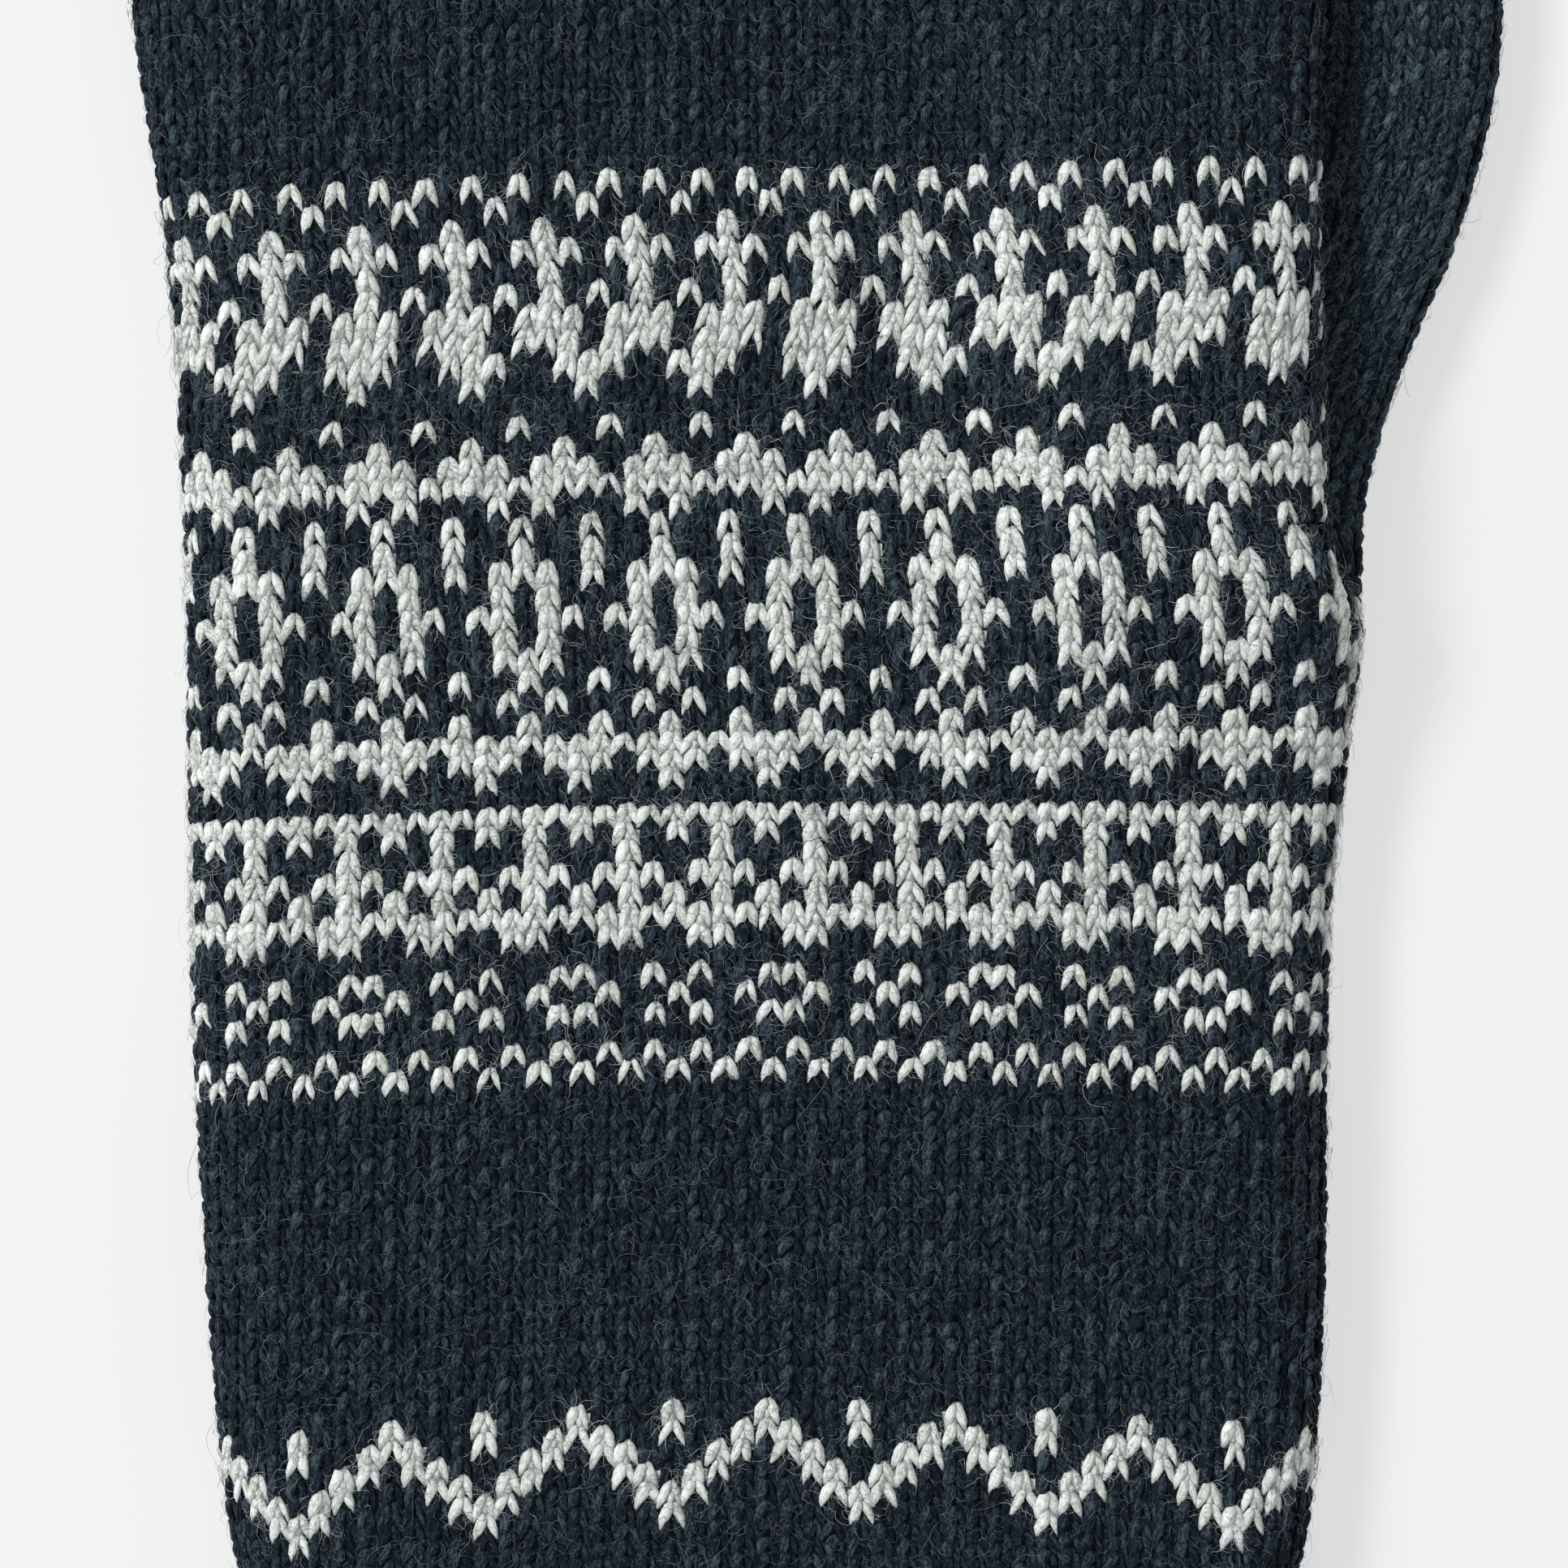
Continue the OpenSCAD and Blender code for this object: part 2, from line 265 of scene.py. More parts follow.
def finger_ring(i):
    """A finger's cross-section as a function of v, and the length of its skin."""
    length = y_range(FINGERS[i] + "_tip")[1] - CROTCH[i]

    def at(v):
        y, closing = tip(v, length, TIP_ROUND)
        half_width = (ROOTS[i + 1] - ROOTS[i] - LEAN_IN) / 2
        half_width = mix(half_width, half_width * FINGER_TAPER, max(y, 0) / length) * closing
        middle = (ROOTS[i] + ROOTS[i + 1]) / 2 + max(y, 0) * math.tan(math.radians(LEAN[i]))
        root_h = mix(HAND_H, FINGER_H, smooth(y / 10))
        h = root_h * mix(1, closing, TIP_FLAT)
        low = (root_h - h) / 2
        return ring(CROTCH[i] + y, middle - half_width, middle + half_width, lambda x: low + 0 * x,
                    lambda x: low + h + 0 * x, min(FINGER_EDGE, half_width))
    return at, skin_length(length, TIP_ROUND)


def thumb_ring(v):
    y, closing = tip(v, THUMB_LEN, THUMB_ROUND)
    half_width = THUMB_W / 2 * closing
    middle = along(THUMB_EDGE, y) - THUMB_W / 2
    h = THUMB_H * mix(1, closing, TIP_FLAT)
    low = (THUMB_H - h) / 2
    return ring(y, middle - half_width, middle + half_width, lambda x: low + 0 * x,
                lambda x: low + h + 0 * x, min(THUMB_EDGE_R, half_width))


def hang(x, y):
    """How far a course strays from level, as the fabric lies."""
    left, right = np.interp(y, HANG_Y, HANG_LEFT), np.interp(y, HANG_Y, HANG_RIGHT)
    share = smooth((y + 100) / 20) * (1 - smooth((y - 28) / 20))
    out_left, out_right = ((np.abs(x) / reach) ** HANG_POWER for reach in HANG_REACH)
    return share * np.where(x < 0, left * out_left, right * out_right)


# ---------------------------------------------------------------- tubes of fabric

class Tube:
    """A knit tube's outer surface over u, in stitches round it, and v, in millimetres along it.
    anchor(v) is the x of u = 0, warp(x, y) moves the courses along the tube, front(v) gives the width
    of the stitches left and right of u = 0, and relief(u, v) raises the surface."""
    PER_WALE, STEP = 4, 0.5

    def __init__(self, ring_at, v_low, v_high, wales=None, anchor=None, warp=None, front=None, relief=None):
        self.relief = relief
        self.v_low, self.step = v_low, (v_high - v_low) / math.ceil((v_high - v_low) / self.STEP)
        stations = np.arange(v_low, v_high + self.step / 2, self.step)
        rings = [ring_at(v) for v in stations]
        lengths = [self.measure(r)[-1] for r in rings]
        self.wales = wales or int(round(max(lengths) / WALE))
        count = self.wales * self.PER_WALE
        grid = np.empty((len(rings), count, 3))
        u = np.arange(count) / self.PER_WALE
        u = np.where(u > self.wales / 2, u - self.wales, u)
        for i, r in enumerate(rings):
            s = self.measure(r)
            closed = np.vstack([r, r[:1]])
            top = len(SIDE)
            x0 = anchor(stations[i]) if anchor is not None else (r[0, 0] + r[top - 1, 0]) / 2
            start = np.interp(x0, closed[:top, 0], s[:top])
            reach = u / self.wales * s[-1]
            if front is not None:
                pitch_left, pitch_right = front(stations[i])
                flat = FRONT_SHARE * np.ptp(r[:, 0])
                rest = (s[-1] - 2 * flat) / (self.wales - flat / pitch_left - flat / pitch_right)
                pitch = np.where(u > 0, pitch_right, pitch_left)
                past = np.abs(u) - flat / pitch
                reach = np.where(past < 0, u * pitch, np.sign(u) * (flat + past * rest))
            at = (start + reach) % s[-1]
            for axis in range(3):
                grid[i, :, axis] = np.interp(at, s, closed[:, axis])
        if warp is not None:
            grid[..., 1] += warp(grid[..., 0], grid[..., 1])
        across = np.roll(grid, -1, 1) - np.roll(grid, 1, 1)
        normal = np.cross(across, np.gradient(grid, axis=0))
        normal /= np.maximum(np.linalg.norm(normal, axis=2, keepdims=True), 1e-9)
        self.grid, self.normal = grid, normal
        self.width = np.array(lengths) / self.wales

    @staticmethod
    def measure(r):
        """Distance round a ring up to each point. The slope over the thumb isn't counted."""
        closed = np.vstack([r, r[:1]])
        step = np.diff(closed, axis=0)
        middle, half_width = (r[:, 0].min() + r[:, 0].max()) / 2, np.ptp(r[:, 0]) / 2
        side = np.abs(closed[:-1, 0] - middle) > half_width - 2 * EDGE_R
        return np.concatenate([[0], np.cumsum(np.hypot(step[:, 0], step[:, 2] * side))])

    def place(self, u, v, out):
        """Points in the row frame, in metres, at out millimetres above the surface."""
        rows, count = self.grid.shape[:2]
        a = (u * self.PER_WALE) % count
        b = np.clip((v - self.v_low) / self.step, 0, rows - 1.001)
        i, j = np.floor(a).astype(int) % count, np.floor(b).astype(int)
        s, t = (a - np.floor(a))[..., None], (b - j)[..., None]
        k = (i + 1) % count

        def blended(field):
            return mix(mix(field[j, i], field[j, k], s), mix(field[j + 1, i], field[j + 1, k], s), t)
        if self.relief is not None:
            out = out + self.relief(u, v)
        point = blended(self.grid) + blended(self.normal) * np.asarray(out)[..., None]
        return (point + ORIGIN) * MM

    def thin(self, v):
        """How much narrower the stitches are at v than on the back of the hand."""
        at = np.clip((v - self.v_low) / self.step, 0, len(self.width) - 1)
        return np.clip(np.interp(at, np.arange(len(self.width)), self.width) / WALE, 0.2, 1)


# ---------------------------------------------------------------- stitches

# Lengths of yarn: across, down from the top of the stitch, half width, depth of its middle and
# half height. LEG is the right half of a loop, LINK lies between two cream loops that stand over
# each other, BAR is a purl bump, and CHAIN the upper half of a bound-off loop.
LEG = np.array([(0.09, 0.00, 0.15, -0.42, 0.13),
                (0.19, 0.34, 0.37, -0.29, 0.24),
                (0.42, 0.92, 0.43, -0.25, 0.26),
                (0.66, 1.54, 0.35, -0.31, 0.23),
                (0.86, 2.22, 0.09, -0.46, 0.09)])
LINK = np.array([(0, 0.70, 0.16, -0.44, 0.10),
                 (0, 1.20, 0.38, -0.31, 0.22),
                 (0, 1.66, 0.34, -0.31, 0.20),
                 (0, 2.00, 0.12, -0.44, 0.08)])
BAR = np.array([(-0.95, 0.86, 0.14, -0.46, 0.12),
                (-0.45, 0.58, 0.40, -0.28, 0.24),
                (0.45, 0.58, 0.40, -0.28, 0.24),
                (0.95, 0.86, 0.14, -0.46, 0.12)])
CHAIN = np.array([(-0.95, 0.55, 0.10, -0.30, 0.12),
                  (-0.40, 0.18, 0.40, 0.02, 0.34),
                  (0.35, 0.16, 0.42, 0.04, 0.36),
                  (1.05, 0.50, 0.12, -0.30, 0.14)])
CHAIN_FOLD = 1.3          # twice the depth of the middle of a bound-off loop
FINE_ANGLES = np.radians([-90, -20, 35, 90, 145, 200])
PLAIN_ANGLES = np.radians([-90, 0, 90, 180])
PLAIN_LEG = [0, 1, 2, 4]  # the places along a leg that a plainer one keeps
SHELL_DEPTH = -0.52       # how deep the ground under the stitches lies
RIGHT, LEFT = 1, -1
CREAM_PLUMP = 1.04        # how much thicker the cream yarn is
# The left half of a loop stands above the right one, is thicker and, in navy, runs straighter.
# Each pair is for navy and for cream.
LEFT_RISE = (0.115, 0.06)
LEFT_PLUMP = (0.15, 0.065)
LEFT_LEAN = (-0.12, 0)
ROUGH, WOBBLE = 0.028, 0.03      # how uneven the yarn is round it and along it
SHIFT, PLUMP_SPREAD, HALF_SPREAD, LEAN_SPREAD = 0.045, 0.08, 0.09, 0.06      # how uneven the loops are
ROW_LEAN = 0.03           # how uneven links, bumps and chains lie
HALF_TONE = 0.37          # tone of the right half of a loop, against the left one
# Heights of the UV layer that stitches, the ground, its inside and loose fibres have.
STITCH_ROOM, SHELL_ROOM, LINING_ROOM, HAIR_ROOM = 0.68, (0.69, 0.75), (0.76, 0.80), (0.81, 0.995)
LEG_SHARE, ROW_SHARE, ROW_START = 0.8, 0.18, 0.81    # shares of a stitch's height there


class Fabric:
    """Collects the faces of one piece."""

    def __init__(self):
        self.points, self.quads, self.wool, self.uv, self.fibre = [], [], [], [], []
        self.tris, self.tri_wool = [], []
        self.count = 0

    def add(self, points, quads, wool, uv, fibre):
        points = points.reshape(-1, 3)
        self.points.append(points)
        self.quads.append(quads + self.count)
        self.wool.append(np.broadcast_to(wool, len(quads)))
        self.uv.append(uv.reshape(-1, 2))
        self.fibre.append(fibre.reshape(-1, 3))
        self.count += len(points)


def tube_quads(rings, sides, mirrored):
    """Faces of a closed yarn with this many rings."""
    i, m = np.meshgrid(np.arange(rings - 1), np.arange(sides), indexing="ij")
    n = (m + 1) % sides
    low, high = i * sides, (i + 1) * sides
    body = np.stack([low + m, low + n, high + n, high + m], -1).reshape(-1, 4)
    last = (rings - 1) * sides
    caps = [[3, 2, 1, 0], [last, last + 1, last + 2, last + 3]]
    if sides == 6:
        caps = [caps[0], [5, 4, 3, 0], caps[1], [last, last + 3, last + 4, last + 5]]
    quads = np.concatenate([body, caps])
    return quads[:, ::-1] if mirrored else quads


def repeat_quads(quads, copies, points_each):
    return (quads[None] + (np.arange(copies) * points_each)[:, None, None]).reshape(-1, 4)


def add_yarn(fabric, tube, u, v, pitch, wool, path, angles, cell, plump, lean, tone, rng,
             side=RIGHT, rise=0.0):
    """A closed length of yarn at every (u, v), along path. cell is each one's share of the UV layer:
    its left, its bottom, its width and its height."""
    tangent = np.gradient(path[:, :2], axis=0)
    plump = np.where(wool == CREAM, CREAM_PLUMP, 1) * plump
    tangent /= np.linalg.norm(tangent, axis=1, keepdims=True)
    count, rings, sides = len(u), len(path), len(angles)
    thin = tube.thin(v)[:, None, None]
    shape = (count, rings, sides)
    rough = rng.normal(0, ROUGH, (3,) + shape) + rng.normal(0, WOBBLE, (3, count, rings, 1))
    width = path[:, 2, None] * np.cos(angles) * plump[:, None, None]
    across = path[:, 0, None] + width * tangent[:, 1, None] + lean[:, None, None] * path[:, 1, None]
    down = path[:, 1, None] - width * tangent[:, 0, None]
    height = path[:, 4, None] * np.sin(angles) * plump[:, None, None]
    out = path[:, 3, None] + height + np.reshape(rise, (-1, 1, 1))
    points = tube.place(u[:, None, None] + (side * across + rough[0]) / WALE,
                        v[:, None, None] - (down + rough[1]) * (pitch / COLOUR)[:, None, None],
                        SHELL_DEPTH * (1 - thin) + (out + rough[2]) * thin)
    turn = np.broadcast_to(np.linspace(0, 1, sides), shape)
    reach = np.broadcast_to(np.linspace(0, 1, rings)[:, None], shape)
    column = cell[0][:, None, None] + (0.05 + 0.90 * turn) * cell[2]
    line = cell[1][:, None, None] + (0.04 + 0.92 * reach) * cell[3]
    seed = np.broadcast_to(tone[:, None, None], turn.shape)
    quads = repeat_quads(tube_quads(rings, sides, side == LEFT), count, rings * sides)
    fabric.add(points, quads, np.repeat(wool, len(quads) // count), np.stack([column, line], -1),
               np.stack([turn, reach, seed], -1))


def add_legs(fabric, tube, u, v, pitch, wool, rng, fine, cell):
    """Both halves of every loop."""
    path = LEG if fine else LEG[PLAIN_LEG] * [1, 1, 0.97, 1, 1]
    angles = FINE_ANGLES if fine else PLAIN_ANGLES
    count = len(u)
    left, bottom, width, height = cell
    du, dv = rng.normal(0, SHIFT, (2, count))
    fat, tone = rng.normal(1, PLUMP_SPREAD, count), rng.random(count)
    high, uneven, straight = (np.where(wool == NAVY, *pair) for pair in (LEFT_RISE, LEFT_PLUMP, LEFT_LEAN))
    for side in (LEFT, RIGHT):
        half = (left + (width / 2 if side == RIGHT else 0), bottom, width / 2, height)
        plump = fat * (1 - side * uneven) * rng.normal(1, HALF_SPREAD, count)
        lean = rng.normal(0, LEAN_SPREAD, count) + (straight if side == LEFT else 0)
        add_yarn(fabric, tube, u + du, v + dv * pitch, pitch, wool, path, angles, half, plump, lean,
                 tone + (HALF_TONE if side == RIGHT else 0), rng, side, -side * high)


def add_row(fabric, tube, u, v, pitch, wool, rng, path, cell):
    """One length of yarn at every (u, v): links, purl bumps or a bound-off edge."""
    count = len(u)
    add_yarn(fabric, tube, u, v, pitch, np.full(count, wool), path, PLAIN_ANGLES, cell,
             rng.normal(1, PLUMP_SPREAD, count), rng.normal(0, ROW_LEAN, count), rng.random(count), rng)


def shell(fabric, tube, lines, cream=None, inner_step=6, closed=False):
    """The ground of the fabric under the stitches, and its inside. lines are places along the tube, and
    cream says which cells between them are cream. closed shuts it at both ends."""
    columns = 2 * tube.wales
    u = np.arange(columns) / 2 + WALE_SHIFT
    deep = np.array(list(lines[::inner_step]) + ([lines[-1]] if (len(lines) - 1) % inner_step else []))

    def layer(at, depth):
        return tube.place(*np.meshgrid(u, at), np.full((len(at), columns), depth) * tube.thin(at)[:, None])
    outer, inner = layer(lines, SHELL_DEPTH), layer(deep, -KNIT_T)
    rows_out, rows_in = len(lines), len(deep)

    def strip(rows, base, outward):
        r, c = np.meshgrid(np.arange(rows - 1), np.arange(columns), indexing="ij")
        d = (c + 1) % columns
        q = np.stack([base + r * columns + c, base + r * columns + d, base + (r + 1) * columns + d,
                      base + (r + 1) * columns + c], -1).reshape(-1, 4)
        return q if outward else q[:, ::-1]
    m = rows_out * columns
    c = np.arange(columns)
    d = (c + 1) % columns
    first = np.stack([m + c, m + d, d, c], -1)
    a, b = m - columns, m + (rows_in - 1) * columns
    last = np.stack([a + c, a + d, b + d, b + c], -1)
    quads = np.concatenate([strip(rows_out, 0, True), strip(rows_in, m, False), first, last])
    wool = np.full(len(quads), NAVY)
    if cream is not None:
        wool[:cream.size] = np.where(cream.ravel(), CREAM, NAVY)

    def pairs(across, *layers):
        return np.concatenate([np.stack(np.meshgrid(across, at), -1).reshape(-1, 2) for at in layers])
    uv = pairs(np.arange(columns) / columns, np.linspace(*SHELL_ROOM, rows_out),
               np.linspace(*LINING_ROOM, rows_in))
    fibre = pairs(u, lines, deep)
    fabric.add(np.concatenate([outer.reshape(-1, 3), inner.reshape(-1, 3)]), quads, wool, uv,
               np.concatenate([fibre, np.full((len(fibre), 1), 0.5)], 1))
    if closed:
        for base, flip in ((a, False), (b, True)):
            half = columns // 2
            k = np.arange(half - 1)
            cap = np.stack([base + k, base + k + 1, base + (columns - 2 - k), base + (columns - 1 - k)], -1)
            fabric.quads.append((cap[:, ::-1] if flip else cap) + fabric.count - len(uv))
            fabric.wool.append(np.full(len(cap), NAVY))


def hand_courses():
    """Top of each course of the hand, its height and its stitch pattern, from the fingers down."""
    courses = [(FIRST_COLOUR_Y + PLAIN * k, PLAIN, ".") for k in range(PLAIN_ABOVE, 0, -1)]
    y = FIRST_COLOUR_Y
    heights = [height for count, height in COLOUR_HEIGHTS for _ in range(count)]
    for pattern, height in zip(CHART, heights):
        courses.append((y, height, pattern))
        y -= height
    for _ in range(PLAIN_BETWEEN):
        courses.append((y, PLAIN, "."))
        y -= PLAIN
    for pattern in ZIGZAG_CHART:
        courses.append((y, ZIGZAG, pattern))
        y -= ZIGZAG
    while y > Y_END:
        courses.append((y, PLAIN, "."))
        y -= PLAIN
    return courses


COURSES = hand_courses()


def knit_piece(tube, courses, rng, fine=False, closed=False, purl=False, navy_where=None):
    """A tube of plain or patterned stitches. courses are (v, height, pattern) from high v to low.
    fine gives the upper side rounder yarn, purl turns two wales in four to purl, and
    navy_where(u, v) keeps stitches navy."""
    fabric = Fabric()
    wales = np.arange(tube.wales)
    j = (wales + tube.wales // 2) % tube.wales - tube.wales // 2
    cream = np.array([[pattern[k % len(pattern)] == "#" for k in j] for _, _, pattern in courses])
    v, pitch = (np.array([c[i] for c in courses]) for i in (0, 1))
    rows = len(courses)
    grid_u = np.broadcast_to(j + WALE_SHIFT, (rows, len(j)))
    grid_v = np.broadcast_to(v[:, None], grid_u.shape)
    grid_pitch = np.broadcast_to(pitch[:, None], grid_u.shape)
    if navy_where is not None:
        cream = cream & ~navy_where(grid_u, grid_v)
    left = np.broadcast_to(wales / tube.wales, grid_u.shape)
    bottom = np.broadcast_to(np.arange(rows)[:, None] / rows * STITCH_ROOM, grid_u.shape)
    front = fine & (np.abs(grid_u) < tube.wales / 4 + 1.5)
    purled = np.broadcast_to(j % 4 >= 2, grid_u.shape) if purl else np.zeros(grid_u.shape, bool)

    def cell(chosen, share=1.0, start=0.0):
        """The part of the UV layer that the chosen stitches have."""
        height = STITCH_ROOM / rows
        return left[chosen], bottom[chosen] + start * height, 1 / tube.wales, share * height
    for chosen, is_fine in ((front & ~purled, True), (~front & ~purled, False)):
        if chosen.any():
            add_legs(fabric, tube, grid_u[chosen], grid_v[chosen], grid_pitch[chosen],
                     np.where(cream, CREAM, NAVY)[chosen], rng, is_fine, cell(chosen, LEG_SHARE))
    below = np.vstack([cream[1:], cream[-1:] & False])
    above = np.vstack([cream[:1] & False, cream[:-1]])
    for chosen, path, wool in ((cream & below, LINK, CREAM), (purled, BAR, NAVY)):
        if chosen.any():
            add_row(fabric, tube, grid_u[chosen], grid_v[chosen], grid_pitch[chosen], wool, rng, path,
                    cell(chosen, ROW_SHARE, ROW_START))
    pair = cream & np.roll(cream, -1, 1) & above & np.roll(above, -1, 1)
    stacked = cream & below
    ground = np.empty((2 * rows, 2 * tube.wales), bool)
    ground[0::2] = np.stack([stacked, np.roll(stacked, -1, 1)], -1).reshape(rows, -1)[::-1]
    ground[1::2] = np.stack([pair, pair], -1).reshape(rows, -1)[::-1]
    lines = np.append(np.stack([v - pitch, v - pitch / 2], -1)[::-1].ravel(), v[0])
    shell(fabric, tube, lines, ground, closed=closed)
    return fabric


# ---------------------------------------------------------------- fuzz

def unit(vectors):
    return vectors / np.maximum(np.linalg.norm(vectors, axis=-1, keepdims=True), 1e-12)


def hair_quads(knots):
    """Faces of a three-sided fibre without its ends."""
    i, m = np.meshgrid(np.arange(knots - 1), np.arange(3), indexing="ij")
    n = (m + 1) % 3
    return np.stack([i * 3 + m, (i + 1) * 3 + m, (i + 1) * 3 + n, i * 3 + n], -1).reshape(-1, 4)


# Loose fibres: how many to a square millimetre of colour-work, points along each, length, radius,
# curl, how far they rise, and the share of them that are pale.
HAIRS = ((2.6, 4, 1.5, 0.016, 1.6, 0.34, 0.35),
         (0.80, 10, 4.4, 0.0155, 2.0, 0.60, 1.0),
         (0.06, 7, 5.5, 0.014, 0.5, 1.50, 1.0))
CREAM_SHARE, PLAIN_SHARE = 0.45, 0.48    # shares of them left on cream stitches and outside the colour-work
HAND_FUZZ, THUMB_FUZZ, FINGER_FUZZ = 1.0, 0.48, 0.3      # how thick they are on the tubes
HALO = (3.2, 5, 1.7, 0.022, 2.0, 0.42)   # down on cream stitches, as in HAIRS without the pale share
ROOT_DEPTH = 0.25         # how deep in the fabric a fibre starts


def add_hairs(fabric, tube, u, v, wool, rng, knots, length, radius, curl, rise, room):
    """Loose fibres that start in the fabric at (u, v), curl over it and stand off it by up to rise."""
    count = len(u)
    step = (length * rng.uniform(0.5, 1.2, count) / (knots - 1))[:, None]
    heading = rng.uniform(0, 2 * math.pi, count)[:, None] + np.cumsum(
        step * (rng.normal(0, curl, count)[:, None] + rng.normal(0, curl * 0.7, (count, knots))), 1)
    across, up = np.cumsum(step * np.cos(heading), 1), np.cumsum(step * np.sin(heading), 1)
    t = np.linspace(0, 1, knots)
    high = rise * rng.uniform(0.1, 1, count)[:, None]
    arch = np.sin(t * math.pi * rng.uniform(0.5, 1, count)[:, None])
    out = -ROOT_DEPTH + high * arch + ROOT_DEPTH * t
    line = tube.place(u[:, None] + across / WALE, v[:, None] + up, out)
    ahead = np.gradient(line, axis=1)
    side = unit(np.cross(ahead, rng.normal(0, 1, (count, 1, 3))))
    over = unit(np.cross(side, ahead))
    thick = radius * MM * rng.uniform(0.7, 1.3, count)[:, None] * np.sqrt(np.clip(1 - t ** 3, 0.05, 1))
    angle = np.radians([0, 120, 240])
    points = (line[:, :, None] + thick[..., None, None] * (
        side[:, :, None] * np.cos(angle)[:, None] + over[:, :, None] * np.sin(angle)[:, None]))
    quads = repeat_quads(hair_quads(knots), count, knots * 3)
    shape = (count, knots, 3)
    turn = np.broadcast_to(np.linspace(0, 1, 3), shape)
    reach = np.broadcast_to(t[:, None], shape)
    seed = np.broadcast_to(rng.random(count)[:, None, None], shape)
    cell = math.ceil(math.sqrt(count))
    place = np.arange(count)
    uv = np.stack([((place % cell)[:, None, None] + 0.1 + 0.8 * turn) / cell,
                   mix(*room, ((place // cell)[:, None, None] + 0.1 + 0.8 * reach) / cell)], -1)
    base = fabric.count
    fabric.add(points, quads, np.repeat(wool, len(quads) // count), uv, np.stack([turn, reach, seed], -1))
    first = base + np.arange(count) * knots * 3
    last = first + (knots - 1) * 3
    fabric.tris.append(np.concatenate([np.stack([first, first + 1, first + 2], -1),
                                       np.stack([last + 2, last + 1, last], -1)]))
    fabric.tri_wool.append(np.tile(wool, 2))


def add_fuzz(fabric, tube, low, high, rng, thick, colour=None, room=HAIR_ROOM):
    """Loose fibres on the upper side and the edges of a tube between low and high. colour(u, v) says
    which stitches are cream."""
    half = tube.wales / 4 + 3
    area = 2 * half * WALE * float(np.mean(tube.thin(np.linspace(low, high, 9)))) * (high - low)
    edges = np.linspace(*room, len(HAIRS) + 2)
    for kind, (per_area, knots, length, radius, curl, rise, pale) in enumerate(HAIRS):
        count = int(area * per_area * thick)
        u, v = rng.uniform(-half, half, count), rng.uniform(low, high, count)
        wool = np.where(rng.random(count) < pale, STRAY, NAVY)
        if colour is not None:
            cream = colour(u, v)
            plain = (v > FIRST_COLOUR_Y) | (v < COLOUR_END)
            keep = rng.random(count) < np.where(cream, CREAM_SHARE, np.where(plain, PLAIN_SHARE, 1))
            u, v, wool = u[keep], v[keep], np.where(cream, DOWN, wool)[keep]
        add_hairs(fabric, tube, u, v, wool, rng, knots, length, radius, curl, rise, edges[kind:kind + 2])
    if colour is not None:
        count = int(area * HALO[0])
        u, v = rng.uniform(-half, half, count), rng.uniform(low, high, count)
        chosen = colour(u, v)
        if chosen.any():
            u, v = u[chosen], v[chosen]
            add_hairs(fabric, tube, u, v, np.full(len(u), DOWN), rng, *HALO[1:], edges[-2:])


def colour_at(u, v):
    """Whether the stitch of the hand at (u, v) is cream."""
    tops, _, patterns = zip(*COURSES)
    row = np.clip(np.searchsorted(-np.array(tops), -v, "right") - 1, 0, len(tops) - 1)
    j = np.round(u - WALE_SHIFT).astype(int)
    return np.array([patterns[r][k % len(patterns[r])] == "#" for r, k in zip(row, j)])


# ---------------------------------------------------------------- objects and materials

def make_object(name, fabric, materials):
    """A mesh object of the collected faces."""
    points, quads = np.concatenate(fabric.points), np.concatenate(fabric.quads)
    tris = np.concatenate(fabric.tris) if fabric.tris else np.empty((0, 3), int)
    wool = np.concatenate(fabric.wool + fabric.tri_wool)
    corners = np.concatenate([quads.ravel(), tris.ravel()])
    starts = np.concatenate([np.arange(len(quads)) * 4, quads.size + np.arange(len(tris)) * 3])
    uv, fibre = np.concatenate(fabric.uv), np.concatenate(fabric.fibre)
    mesh = bpy.data.meshes.new(name)
    mesh.vertices.add(len(points))
    mesh.vertices.foreach_set("co", points.astype(np.float32).ravel())
    mesh.loops.add(len(corners))
    mesh.loops.foreach_set("vertex_index", corners.astype(np.int32))
    mesh.polygons.add(len(starts))
    mesh.polygons.foreach_set("loop_start", starts.astype(np.int32))
    mesh.polygons.foreach_set("material_index", wool.astype(np.int32))
    mesh.polygons.foreach_set("use_smooth", np.ones(len(starts), bool))
    layer = mesh.uv_layers.new(name="OFBake")
    layer.data.foreach_set("uv", uv[corners].astype(np.float32).ravel())
    attribute = mesh.attributes.new("fibre", "FLOAT_VECTOR", "POINT")
    attribute.data.foreach_set("vector", fibre.astype(np.float32).ravel())
    for material in materials:
        mesh.materials.append(material)
    mesh.update(calc_edges=True)
    mesh.validate()
    obj = bpy.data.objects.new(name, mesh)
    bpy.context.scene.collection.objects.link(obj)
    return obj


STRANDS, FELT = (11, 2.6, 130), (9, 8, 77)       # noise scales round yarn, along it and between lengths
TONES = (0.38, 0.51, 0.64)       # values of the noise that get the dark, middle and light colours
BUMP = 0.22               # height of the fibres in the yarn


